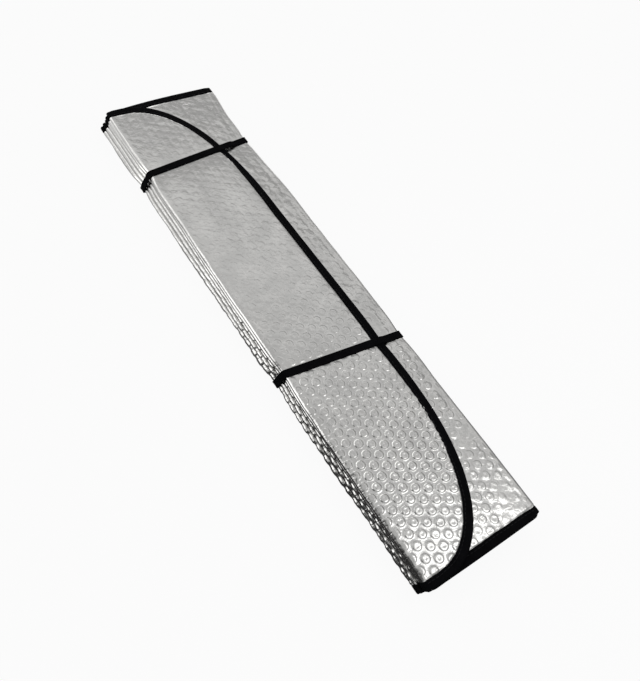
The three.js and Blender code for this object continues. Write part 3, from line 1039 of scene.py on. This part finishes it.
def wovenMaterial(name, weave):
    material, paint, shader = newMaterial(name)
    place = inMillimetres(paint, paint.node("ShaderNodeUVMap", {"uv_map": "weave"}))
    warp = paint.maths("SINE", axisOf(paint, place, 0) * (2 * math.pi * weave["warp"]))
    weft = paint.maths("SINE", axisOf(paint, place, 1) * (2 * math.pi * weave["weft"]))
    fuzz = paint.node("ShaderNodeTexNoise", None, {"Vector": place, **cloth["fuzz"]})
    wear = paint.node("ShaderNodeTexNoise", None, {"Vector": place, **cloth["wear"]})
    height = warp * weft * cloth["weaveShare"] + fuzz * cloth["fuzzShare"]
    bump = paint.node("ShaderNodeBump", None, {**cloth["bump"], "Height": height})
    lighter = tuple(min(1, channel * cloth["wornLighter"]) for channel in weave["colour"][:3]) + (1,)
    worn = fade(paint, wear * cloth["wearShare"] + fuzz * cloth["fuzzShare"], cloth["wornFade"])
    colour = blendColour(paint, worn, weave["colour"], lighter)
    feedShader(paint, shader, {"Base Color": colour, "Roughness": cloth["roughness"], "Normal": bump,
                               "Specular IOR Level": cloth["specular"]})
    return material


thread = {
    "dark": (0.004, 0.004, 0.005, 1),
    "light": (0.012, 0.012, 0.013, 1),
    "ply": {"Scale": 0.9},
    "fuzz": {"Scale": 3.0, "Detail": 2.0},
    "fuzzShare": 0.4,
    "bump": {"Strength": 0.5, "Distance": 0.0002},
    "roughness": 0.6,
    "specular": 0.2,
}


def threadMaterial():
    material, paint, shader = newMaterial("thread")
    place = inMillimetres(paint, paint.node("ShaderNodeTexCoord", out=3))
    ply = paint.node("ShaderNodeTexWave", {"bands_direction": "DIAGONAL"}, {"Vector": place, **thread["ply"]})
    fuzz = paint.node("ShaderNodeTexNoise", None, {"Vector": place, **thread["fuzz"]})
    height = ply + fuzz * thread["fuzzShare"]
    bump = paint.node("ShaderNodeBump", None, {**thread["bump"], "Height": height})
    colour = blendColour(paint, fuzz, thread["dark"], thread["light"])
    feedShader(paint, shader, {"Base Color": colour, "Roughness": thread["roughness"], "Normal": bump,
                               "Specular IOR Level": thread["specular"]})
    return material


sheetPiece = buildSheet()
sheetPiece.data.materials.append(foilMaterial())
tapePiece = buildTape()
tapePiece.data.materials.append(wovenMaterial("woven_binding", bindingCloth))
stitchPiece = buildStitches()
stitchPiece.data.materials.append(threadMaterial())
elasticLook = wovenMaterial("ribbed_elastic", elasticCloth)
strapPieces = []
for name, (along, slope) in zip(("roof_strap", "dash_strap"), fold["strapPlaces"]):
    piece = buildStrap(name, along, slope)
    piece.data.materials.append(elasticLook)
    strapPieces.append(piece)

for piece in [sheetPiece, tapePiece, stitchPiece, *strapPieces]:
    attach(piece, "root")
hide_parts("shade_sheet")
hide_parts("edge_binding")
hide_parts("roof_side_elastic_strap")
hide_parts("dash_side_elastic_strap")

# The camera stands where the photograph was taken from, in metres
viewpoint = {
    "lens": 35.69,
    "sensor": 36,
    "place": (-0.30121, -0.30318, 0.55760),
    "right": (0.81535, -0.54220, 0.20304),
    "down": (-0.36885, -0.75677, -0.53968),
    "ahead": (0.44627, 0.36514, -0.81702),
}


def placeCamera():
    data = bpy.data.cameras.new("camera")
    data.sensor_width = viewpoint["sensor"]
    data.lens = viewpoint["lens"]
    data.clip_start = 0.01
    camera = bpy.data.objects.new("camera", data)
    bpy.context.scene.collection.objects.link(camera)
    axes = (Vector(viewpoint["right"]), -Vector(viewpoint["down"]), -Vector(viewpoint["ahead"]))
    turned = Matrix(axes).transposed().to_4x4()
    camera.matrix_world = Matrix.Translation(viewpoint["place"]) @ turned
    bpy.context.scene.camera = camera


# White to the camera. To reflections alone the floor glows as a painted reflection, dark at the dashboard end
# and bright past the roof end, and the foil mirrors that.
ground = {
    "half": 6,
    "drop": 0.0002,
    "colour": (0.9, 0.9, 0.9, 1),
    "roughness": 0.9,
    "shownWhite": 0.93,        # the rest of it takes the shadow
    "paintedReflection": (-0.1, 0.5, 0.03, 0.8),
}


def layFloor():
    bm = bmesh.new()
    bmesh.ops.create_grid(bm, x_segments=1, y_segments=1, size=ground["half"])
    floor = newPiece("floor", bm)
    floor.location.z = -ground["drop"]
    material, paint, shader = newMaterial("floor_white")
    feedShader(paint, shader, {"Base Color": ground["colour"], "Roughness": ground["roughness"],
                               "Specular IOR Level": 0})
    seen = paint.node("ShaderNodeLightPath")
    glossy = Feed(paint.tree, seen.socket.node.outputs["Is Glossy Ray"])
    farther = axisOf(paint, paint.node("ShaderNodeTexCoord", out=3), 1)
    # painted reflection: the floor's glow seen only in reflections, graded from dark at the dashboard end to
    # bright past the roof end
    strength = seen + glossy * fade(paint, farther, ground["paintedReflection"])
    glow = paint.node("ShaderNodeEmission", None, {"Color": (1, 1, 1, 1), "Strength": strength})
    plain = Feed(paint.tree, shader.outputs[0])
    share = seen * ground["shownWhite"] + glossy
    mixed = paint.node("ShaderNodeMixShader", None, {0: share, 1: plain, 2: glow})
    output = next(node for node in paint.tree.nodes if node.type == "OUTPUT_MATERIAL")
    paint.tree.links.new(mixed.socket, output.inputs["Surface"])
    floor.data.materials.append(material)


# Light of the room by direction, as fades over how far that points up, roofward or sideways
room = {
    "ceiling": (0.62, 0.72, 0.34, 0.72),
    "overhead": (0.785, 0.835, 0.0, 0.2),     # a little darker right above
    "low": (0.58, 0.42, 0.0, 1.3),            # a bright band low down past the roof end
    "lowTilt": 0.45,
    "behind": (0.1, 0.35, 0.0, 1.0),
    "left": (-0.2, -0.5, 0.0, 1.0),           # a dark side to the left of the shade
    "beside": (-0.5, -0.25, 0.0, 0.95),
    "leftFar": (-0.3, -0.6, 0.0, 0.78),       # the band is dimmer far to the left
    "far": (0.5, 0.64, 0.0, 1.0),
}


def lightRoom():
    world = bpy.data.worlds.new("studio")
    bpy.context.scene.world = world
    world.use_nodes = True
    sky = Feed(world.node_tree)
    way = sky.node("ShaderNodeTexCoord")
    sideways, roofward, up = (axisOf(sky, way, axis) for axis in range(3))
    ceiling = softFade(sky, up, room["ceiling"]) - softFade(sky, up, room["overhead"])
    low = softFade(sky, up + sideways * room["lowTilt"], room["low"])
    behind = softFade(sky, roofward, room["behind"])
    dark = softFade(sky, sideways, room["left"]) * (1.0 - behind) * softFade(sky, roofward, room["beside"])
    dimmed = softFade(sky, sideways, room["leftFar"]) * softFade(sky, roofward, room["far"])
    level = ceiling * (1.0 - dark) + low * behind * (1.0 - dimmed)
    background = next(node for node in world.node_tree.nodes if node.type == "BACKGROUND")
    background.inputs["Color"].default_value = (1, 1, 1, 1)
    world.node_tree.links.new(level.socket, background.inputs["Strength"])


# One soft lamp over the dashboard end, in metres and watts
lamp = {
    "place": (0.205, -0.365, 0.5),
    "target": (0.03, -0.27, 0),
    "size": (0.24, 0.26),
    "power": 0.26,
}


def hangLamp():
    light = bpy.data.lights.new("near_box", "AREA")
    light.shape = "RECTANGLE"
    light.size, light.size_y = lamp["size"]
    light.energy = lamp["power"]
    box = bpy.data.objects.new("near_box", light)
    box.location = lamp["place"]
    box.rotation_mode = "QUATERNION"
    box.rotation_quaternion = (Vector(lamp["target"]) - Vector(lamp["place"])).to_track_quat("-Z", "Y")
    bpy.context.scene.collection.objects.link(box)


placeCamera()
layFloor()
lightRoom()
hangLamp()
bpy.context.scene.view_settings.view_transform = "Standard"
print("camera, floor and lights placed")
